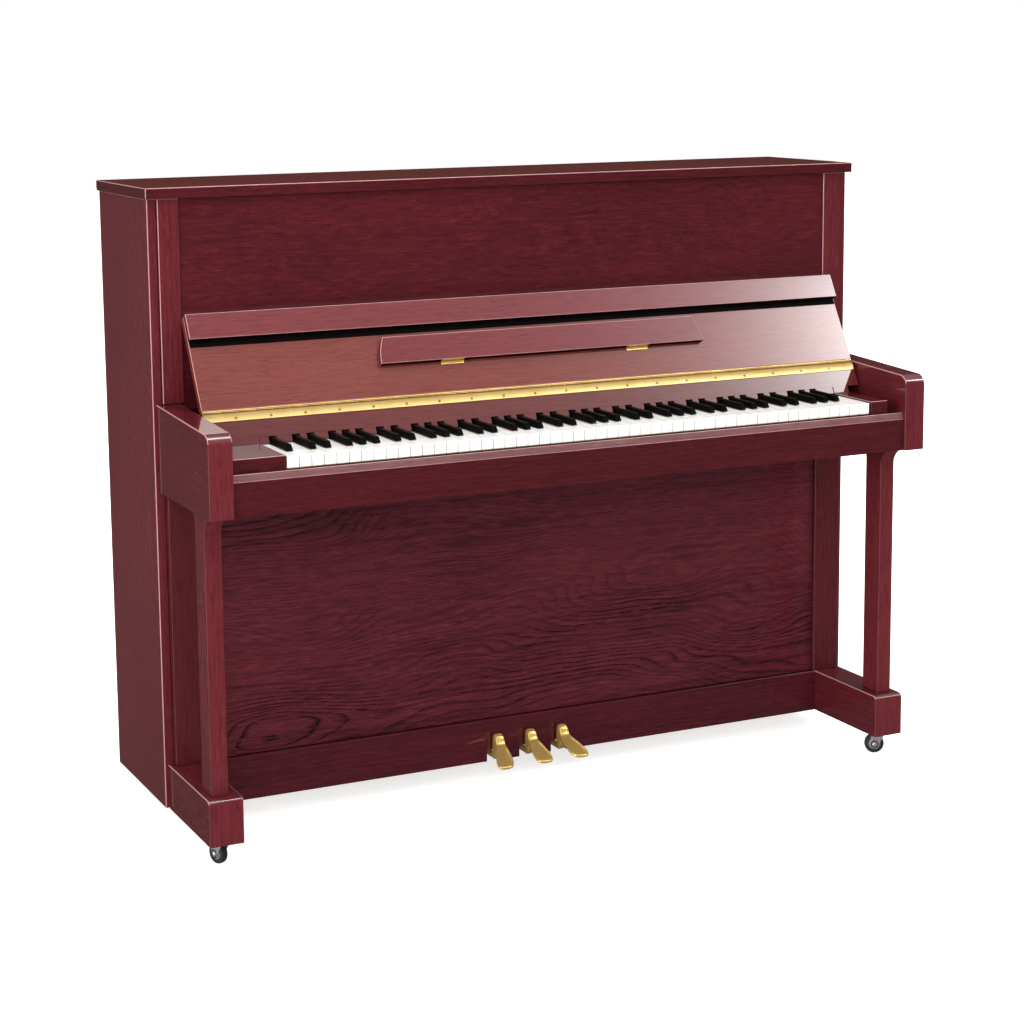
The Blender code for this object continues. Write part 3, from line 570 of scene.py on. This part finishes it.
def build_fallboard():
    down = lean(0, 0, 0) - lean(0, 1, 0)
    refine("fallboard_panel", FALL, 0.0012, shine="left")
    for node, angle in (("fallboard_lip", 32.0), ("music_ledge", 50.0)):
        piece = refine(node, LIP, 0.0012, 3, angle, shine="left")
        # Painted shade: the faces that point down the board are drawn near-black.
        paint(piece, UNDERSIDE_PAINTED_SHADE, lambda normal: normal.dot(down) > 0.85)
    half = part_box("fallboard_lip")[1].x
    # Painted shadow: a black strip on the board just under the lip, partly felt, mostly standing in for the lip's
    # shadow.
    slab_on_board("lip_painted_shadow", -half + 0.002, half - 0.002, 0.1290, 0.1401, 0.0010, 0.0022, UNDERSIDE_PAINTED_SHADE,
                  "fallboard")
    refine("fallboard_hinge_moving_leaf", BRASS_LEAF, 0.0002, 2)
    refine("fallboard_hinge_fixed_leaf", BRASS_LEAF, 0.0003, 2, 60.0)


# ------------------------------------------------------------------ keyboard

def octave_groups():
    """White key indices and sharp centres of the seven key bodies."""
    groups = []
    for octave in range(7):
        start = 2 + 7 * octave
        whites = list(range(start, start + 7))
        sharps = [(start + step + 1, shift) for step, shift in SHARPS_OF_OCTAVE]
        if octave == 0:
            whites, sharps = [0, 1] + whites, [(1, 0.0)] + sharps
        if octave == 6:
            whites.append(WHITE_COUNT - 1)
        groups.append((whites, sharps))
    return groups


def sharp_centre(joint, shift):
    return FIRST_KEY_X + joint * KEY_PITCH + shift


def white_outline(index, sharps, front, head, back, inset=0.0):
    """Plan view of one white key, cut away beside its sharps."""
    half_sharp = SHARP_HALF + 0.0010
    x0 = FIRST_KEY_X + index * KEY_PITCH
    left, right = x0 + KEY_GAP / 2 + inset, x0 + KEY_PITCH - KEY_GAP / 2 - inset
    neck_left, neck_right = left, right
    for joint, shift in sharps:
        if joint == index:
            neck_left = sharp_centre(joint, shift) + half_sharp + inset
        if joint == index + 1:
            neck_right = sharp_centre(joint, shift) - half_sharp - inset
    outline = [(left, front), (right, front)]
    if neck_right != right:
        outline += [(right, head), (neck_right, head)]
    outline += [(neck_right, back), (neck_left, back)]
    if neck_left != left:
        outline += [(neck_left, head), (left, head)]
    return outline


def white_key(index, sharps, node, body):
    """Acrylic top and front over a wooden key stick."""
    low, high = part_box(node)
    front, back, top = low.y, high.y, high.z
    stick_bottom = top - 0.0225
    cap, head = 0.0024, low.y + 0.0445
    bm = bmesh.new()
    add_prism(bm, white_outline(index, sharps, front, head, back - 0.200), "Z", top - cap, top, 0)
    x0 = FIRST_KEY_X + index * KEY_PITCH + KEY_GAP / 2 + 0.0002
    x1 = x0 + KEY_PITCH - KEY_GAP - 0.0004
    add_box(bm, (x0, front + 0.0009, stick_bottom + 0.0015), (x1, front + 0.0025, top - cap), 0)
    add_prism(bm, white_outline(index, sharps, front + 0.0026, head - 0.0003, back, 0.0003), "Z",
              stick_bottom, top - cap, 1)
    piece = new_piece(f"white_key_{index + 1:02d}", bm, [WHITE_KEY, SPRUCE_Y], body)
    return soften(piece, 0.0006, 2)


def black_key(number, centre, node, body):
    """Tapered sharp with a sloping front and rounded edges."""
    low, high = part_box(node)
    wide, narrow = SHARP_HALF, 0.0048
    bm = bmesh.new()
    corners = [
        (-wide, low.y, low.z), (wide, low.y, low.z), (wide, high.y, low.z), (-wide, high.y, low.z),
        (-narrow, low.y + 0.0055, high.z), (narrow, low.y + 0.0055, high.z),
        (narrow, high.y, high.z), (-narrow, high.y, high.z)]
    add_block(bm, [(centre + x, y, z) for x, y, z in corners])
    piece = new_piece(f"black_key_{number:02d}", bm, BLACK_KEY, body)
    return soften(piece, 0.0016, 3, 25.0)


def build_keyboard():
    number = 0
    for group, (whites, sharps) in enumerate(octave_groups(), start=1):
        white_node, black_node = f"white_keys_{group}", f"black_keys_{group}"
        for index in whites:
            piece = white_key(index, sharps, white_node, white_node)
        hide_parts(white_node)
        for joint, shift in sharps:
            number += 1
            piece = black_key(number, sharp_centre(joint, shift), black_node, black_node)
        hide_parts(black_node)


# ------------------------------------------------------------------ pedals and casters

def build_pedals():
    """Rounded brass pedals; a support loop in front of the rail keeps each lever slim inside its slot."""
    support = (0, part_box("bottom_rail")[0].y - 0.0038, 0)
    for side in ("left", "middle", "right"):
        node = "pedal_" + side
        bm = bmesh.new()
        bm.from_mesh(NODES[node].data)
        bmesh.ops.remove_doubles(bm, verts=bm.verts, dist=2e-6)
        bmesh.ops.join_triangles(bm, faces=bm.faces, angle_face_threshold=0.5, angle_shape_threshold=1.5)
        bmesh.ops.bisect_plane(bm, geom=bm.verts[:] + bm.edges[:] + bm.faces[:], plane_co=support,
                               plane_no=(0, 1, 0))
        piece = new_piece(node + "_finish", bm, BRASS, node)
        for polygon in piece.data.polygons:
            polygon.use_smooth = True
        smooth = piece.modifiers.new("round", "SUBSURF")
        smooth.levels = smooth.render_levels = 2
        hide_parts(node)


def build_caster(where):
    fork, wheel = "caster_fork_" + where, "caster_wheel_" + where
    refine(fork, CHROME, 0.0006, 2, 40.0)
    joint = JOINTS[where + "_wheel"]
    centre, axle = Vector(joint["pos_m"]), Vector(joint["axis"]).normalized()
    bm = bmesh.new()
    tread = [(0.0125, -0.0066), (0.0160, -0.0070), (0.0188, -0.0062), (0.0198, -0.0042), (0.0200, -0.0018),
             (0.0200, 0.0018), (0.0198, 0.0042), (0.0188, 0.0062), (0.0160, 0.0070), (0.0125, 0.0066)]
    add_lathe(bm, tread, centre, axle, 48)
    piece = new_piece(wheel + "_tread", bm, TYRE, wheel)
    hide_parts(wheel)
    bm = bmesh.new()
    hub = [(0.0034, -0.0070), (0.0060, -0.0070), (0.0070, -0.0050), (0.0124, -0.0046), (0.0124, 0.0046),
           (0.0070, 0.0050), (0.0060, 0.0070), (0.0034, 0.0070)]
    add_lathe(bm, hub, centre, axle, 40)
    new_piece(wheel + "_hub", bm, CHROME, wheel)
    bm = bmesh.new()
    for sign in (-1.0, 1.0):
        cap = [(0.0001, 0.0112), (0.0001, 0.0124), (0.0026, 0.0122), (0.0038, 0.0114), (0.0044, 0.0104),
               (0.0050, 0.0103)]
        add_lathe(bm, [(r, sign * h) for r, h in cap], centre, axle, 24)
        add_lathe(bm, [(0.0056, sign * 0.0101), (0.0056, sign * 0.0108), (0.0078, sign * 0.0106),
                       (0.0082, sign * 0.0101)], centre, axle, 28, 1)
    new_piece(fork + "_axle_caps", bm, [CHROME, TYRE], fork)
    bm = bmesh.new()
    swivel = Vector(JOINTS[where + "_swivel"]["pos_m"])
    race = [(0.004, -0.0003), (0.0135, -0.0003), (0.0140, -0.0010), (0.0135, -0.0018), (0.004, -0.0018)]
    add_lathe(bm, race, swivel, (0, 0, 1), 32)
    new_piece(fork + "_race", bm, CHROME, fork)


# ------------------------------------------------------------------ hinges and screws

SCREW_STEP = 0.067


def screw_places(half, step):
    count = int(2 * half // step)
    return [-(count - 1) * step / 2 + i * step for i in range(count)]


def add_screw(bm, centre, normal, radius):
    """Countersunk oval head with its slot drawn as a dark sheet of painted shade; slot faces use the second
    material.
    """
    dome = [(0.0001, 0.0), (0.0001, 0.0006), (radius * 0.6, 0.0005), (radius, 0.0001), (radius, 0.0)]
    add_lathe(bm, dome, centre, normal, 16)
    up = Vector(normal).normalized()
    across = up.orthogonal().normalized()
    side = up.cross(across)
    middle = centre + up * 0.0006
    reach, half = radius * 0.8, radius * 0.16
    outline = ((-reach, -half), (reach, -half), (reach, half), (-reach, half))
    corners = [across * a + side * b for a, b in outline]
    add_block(bm, [middle + c for c in corners] + [middle + c + up * 0.0001 for c in corners], 1)


def build_hinges():
    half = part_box("fallboard_hinge_fixed_leaf")[1].x
    normal = lean(0, 0, 1) - lean(0, 0, 0)
    bm = bmesh.new()
    for x in screw_places(half, SCREW_STEP):
        add_screw(bm, lean(x, -0.0125, 0.0021), normal, 0.0030)
    new_piece("fallboard_hinge_screws", bm, [BRASS_DARK, SLOT_PAINTED_SHADE], "case")
    bm = bmesh.new()
    count = 42
    pitch = 2 * half / count
    for i in range(count):
        x0 = -half + i * pitch
        profile = [(0.0022, 0.0003), (0.0031, 0.0004), (0.0034, 0.0009), (0.0034, pitch - 0.0009),
                   (0.0031, pitch - 0.0004), (0.0022, pitch - 0.0003)]
        add_lathe(bm, profile, lean(x0, 0, 0), (1, 0, 0), 16)
    new_piece("fallboard_hinge_knuckles", bm, BRASS_DARK, "case")
    build_ledge_hinges(normal)


def build_ledge_hinges(normal):
    """Two small brass butt hinges along the music ledge's lower edge."""
    pivot_s, centre = 0.0663, (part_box("music_ledge")[0].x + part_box("music_ledge")[1].x) / 2
    half = 0.0235
    fixed, moving = bmesh.new(), bmesh.new()
    for x in (centre - 0.200, centre + 0.200):
        for bm, s0, s1, d in ((fixed, pivot_s - 0.0058, pivot_s - 0.001, 0.0019),
                              (moving, pivot_s, pivot_s + 0.0001, 0.0020)):
            thick = 0.0010 if bm is fixed else 0.0110
            corners = [lean(x - half, s0, d), lean(x + half, s0, d), lean(x + half, s1, d),
                       lean(x - half, s1, d)]
            add_block(bm, corners + [c + normal * thick for c in corners])
        add_lathe(fixed, [(0.0003, 0.0), (0.0018, 0.0002), (0.0018, 0.0468), (0.0003, 0.047)],
                  lean(x - half, pivot_s - 0.0022, 0.0032), (1, 0, 0), 14)
        for dx in (-0.015, 0.0, 0.015):
            add_screw(fixed, lean(x + dx, pivot_s - 0.0042, 0.0028), normal, 0.0012)
    new_piece("ledge_hinge_leaves", fixed, [BRASS, SLOT_PAINTED_SHADE], "fallboard")
    new_piece("ledge_hinge_plates", moving, BRASS, "ledge")


# ------------------------------------------------------------------ inner structure

def build_back_timbers():
    """Five back posts jointed between a top and a bottom beam, each with its own grain."""
    low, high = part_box("back_frame")
    joint, sill, head = 0.0004, 0.170, 1.080
    spans = [(low.x, BACK_POSTS[0] + HALF_POST)]
    spans += [(x - HALF_POST, x + HALF_POST) for x in BACK_POSTS[1:-1]]
    spans += [(BACK_POSTS[-1] - HALF_POST, high.x)]
    for number, (x0, x1) in enumerate(spans, start=1):
        bm = bmesh.new()
        add_box(bm, (x0, low.y, sill + joint), (x1, high.y, head - joint))
        post = soften(new_piece(f"back_post_{number}", bm, SPRUCE_Z, "case"), 0.0030, 3)
    for name, z0, z1 in (("back_sill", low.z, sill), ("back_head", head, high.z)):
        bm = bmesh.new()
        add_box(bm, (low.x, low.y, z0), (high.x, high.y, z1))
        soften(new_piece(name, bm, SPRUCE_X, "case"), 0.0030, 3)
    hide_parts("back_frame")


def build_back():
    build_back_timbers()
    refine("soundboard", SPRUCE_X, 0.0008, 2)
    refine("pin_block", SPRUCE_X, 0.0010, 2)
    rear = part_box("soundboard")[1].y
    bm = bmesh.new()
    for a, b in zip(BACK_POSTS, BACK_POSTS[1:]):
        for step in range(6):
            z = 0.22 + 0.145 * step
            x0, x1 = a + 0.031, b - 0.031
            rise = (x1 - x0) * 0.42
            outline = [(x0, z), (x1, z + rise), (x1, z + rise + 0.022), (x0, z + 0.022)]
            if z + rise + 0.03 < 1.08:
                add_prism(bm, outline, "Y", rear + 0.0002, rear + 0.014)
    soften(new_piece("soundboard_ribs", bm, SPRUCE_X, "case"), 0.002, 2)


def build_action():
    """What shows with the lid up: hammers, tuning pins and strings before the plate."""
    refine("iron_plate", IRON, 0.0020, 2)
    refine("hammer_action", BEECH, 0.0015, 2)
    low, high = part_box("hammer_action")
    plate_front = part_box("iron_plate")[0].y
    count = 88
    pitch = (high.x - low.x - 0.012) / count
    felt, wood = bmesh.new(), bmesh.new()
    for i in range(count):
        x = low.x + 0.006 + (i + 0.5) * pitch
        add_box(wood, (x - 0.0025, 0.0940, high.z + 0.0005), (x + 0.0025, 0.0990, high.z + 0.050))
        outline = [(0.0900, high.z + 0.050), (0.1130, high.z + 0.046), (0.1220, high.z + 0.056),
                   (0.1130, high.z + 0.068), (0.0900, high.z + 0.064)]
        add_prism(felt, outline, "X", x - 0.0042, x + 0.0042)
    soften(new_piece("hammer_felts", felt, FELT_CREAM, "case"), 0.0014, 2)
    new_piece("hammer_shanks", wood, BEECH, "case", smooth=False)
    pins, wires = bmesh.new(), bmesh.new()
    for i in range(108):
        x = -0.640 + i * 0.0119
        z = 1.168 - 0.014 * (i % 3) - 0.004 * (i % 2)
        add_lathe(pins, [(0.0002, 0.0), (0.0034, 0.0), (0.0034, 0.020), (0.0002, 0.0205)],
                  Vector((x, plate_front - 0.0002, z)), (0, -1, 0), 8)
        wire = [(x - 0.0045, plate_front - 0.012), (x - 0.0033, plate_front - 0.012),
                (x - 0.0033, plate_front - 0.0108), (x - 0.0045, plate_front - 0.0108)]
        add_prism(wires, wire, "Z", 0.62, z)
    new_piece("tuning_pins", pins, STEEL, "case")
    new_piece("strings", wires, STEEL, "case", smooth=False)


def build_trim():
    """Felt under the name strip, and its notched apron that comes down between the sharps."""
    half_notch = SHARP_HALF + 0.0013
    left = FIRST_KEY_X - 0.002
    right = FIRST_KEY_X + WHITE_COUNT * KEY_PITCH + 0.004
    foot_y = HINGE.y - (HINGE.z - 0.7635) * math.tan(LEAN)
    bm = bmesh.new()
    add_box(bm, (left, foot_y + 0.0042, 0.7622), (right, foot_y + 0.016, 0.7634))
    new_piece("name_strip_felt", bm, FELT_RED, "case")
    centres = [sharp_centre(joint, shift) for _, sharps in octave_groups() for joint, shift in sharps]
    apron = ((-0.0655, -0.0024), (-0.0522, -0.0024), (-0.0522, 0.0005), (-0.0655, 0.0005))
    edges = [left] + [x + side * half_notch for x in centres for side in (-1.0, 1.0)] + [right]
    bm = bmesh.new()
    for x0, x1 in zip(edges[0::2], edges[1::2]):
        add_block(bm, [lean(x, s, d) for x in (x0, x1) for s, d in apron])
    new_piece("name_strip_apron", bm, STRIP, "case", smooth=False)


make_studio()
build_case()
build_fallboard()
build_keyboard()
build_pedals()
for corner in ("front_left", "front_right", "rear_left", "rear_right"):
    build_caster(corner)
build_hinges()
build_back()
build_action()
build_trim()
